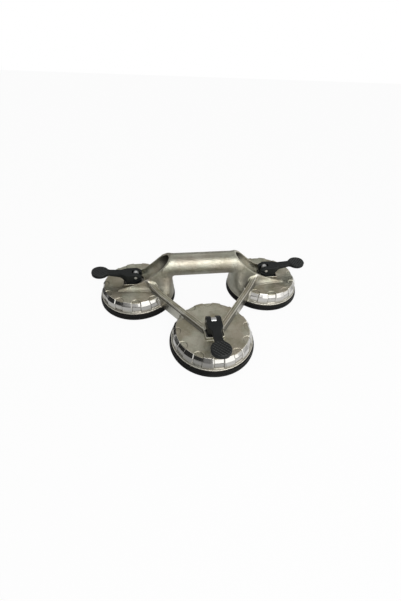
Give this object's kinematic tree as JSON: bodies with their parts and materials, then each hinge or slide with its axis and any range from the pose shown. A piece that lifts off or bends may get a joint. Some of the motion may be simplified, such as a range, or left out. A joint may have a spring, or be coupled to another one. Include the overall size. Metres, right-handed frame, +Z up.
{
  "type": "floor tile suction lifter",
  "caption": "Hand-held vacuum lifter for tiles and floor panels: a cast frame with a tube handle, rubber suction pads and cam levers that draw them up.",
  "frame": {"origin": "on the surface the lifter stands on, under the middle of its bounding box", "axes": "+Z up, X along the handle, the single front cup towards -Y"},
  "size_m": [0.342, 0.237, 0.0744],
  "materials": {
    "cast_aluminium": "polished casting",
    "black_rubber": "moulded",
    "zinc_steel": "zinc plated",
    "bright_steel": "turned",
    "spring_steel": "drawn wire",
    "black_plastic": "moulded"
  },
  "bodies": {
    "frame": {"handle_casting": "cast_aluminium", "left_arm": "cast_aluminium", "right_arm": "cast_aluminium", "left_cup_casting": "cast_aluminium", "left_rubber_pad": "black_rubber", "left_return_spring": "spring_steel", "left_wear_plate": "bright_steel", "right_cup_casting": "cast_aluminium", "right_rubber_pad": "black_rubber", "right_return_spring": "spring_steel", "right_wear_plate": "bright_steel", "front_cup_casting": "cast_aluminium", "front_rubber_pad": "black_rubber", "front_return_spring": "spring_steel", "front_wear_plate": "bright_steel"},
    "left_rod": {"left_pull_rod": "bright_steel", "left_pad_plate": "zinc_steel", "left_lever_pin": "bright_steel"},
    "left_lever": {"left_lever": "black_plastic"},
    "right_rod": {"right_pull_rod": "bright_steel", "right_pad_plate": "zinc_steel", "right_lever_pin": "bright_steel"},
    "right_lever": {"right_lever": "black_plastic"},
    "front_rod": {"front_pull_rod": "bright_steel", "front_pad_plate": "zinc_steel", "front_lever_pin": "bright_steel"},
    "front_lever": {"front_lever": "black_plastic"}
  },
  "joints": [
    {"name": "left_rod_drop", "type": "slide", "parent": "frame", "child": "left_rod", "axis": [0, 0, -1], "range_m": [0, 0.0035], "deforming": ["left_rubber_pad", "left_return_spring"]},
    {"name": "left_lever_lift", "type": "hinge", "parent": "left_rod", "child": "left_lever", "pos_m": [-0.105, 0.0585, 0.0418], "axis": [0, 1, 0], "range_deg": [0, 97]},
    {"name": "right_rod_drop", "type": "slide", "parent": "frame", "child": "right_rod", "axis": [0, 0, -1], "range_m": [0, 0.0035], "deforming": ["right_rubber_pad", "right_return_spring"]},
    {"name": "right_lever_lift", "type": "hinge", "parent": "right_rod", "child": "right_lever", "pos_m": [0.105, 0.0585, 0.0418], "axis": [0, -1, 0], "range_deg": [0, 97]},
    {"name": "front_rod_drop", "type": "slide", "parent": "frame", "child": "front_rod", "axis": [0, 0, -1], "range_m": [0, 0.0035], "deforming": ["front_rubber_pad", "front_return_spring"]},
    {"name": "front_lever_lift", "type": "hinge", "parent": "front_rod", "child": "front_lever", "pos_m": [0, -0.0525, 0.0418], "axis": [-1, 0, 0], "range_deg": [0, 97]}
  ],
  "couplings": [
    {"joint": "left_lever_lift", "follows": "left_rod_drop", "rad_per_m": 473.73},
    {"joint": "right_lever_lift", "follows": "right_rod_drop", "rad_per_m": 473.73},
    {"joint": "front_lever_lift", "follows": "front_rod_drop", "rad_per_m": 473.73}
  ]
}
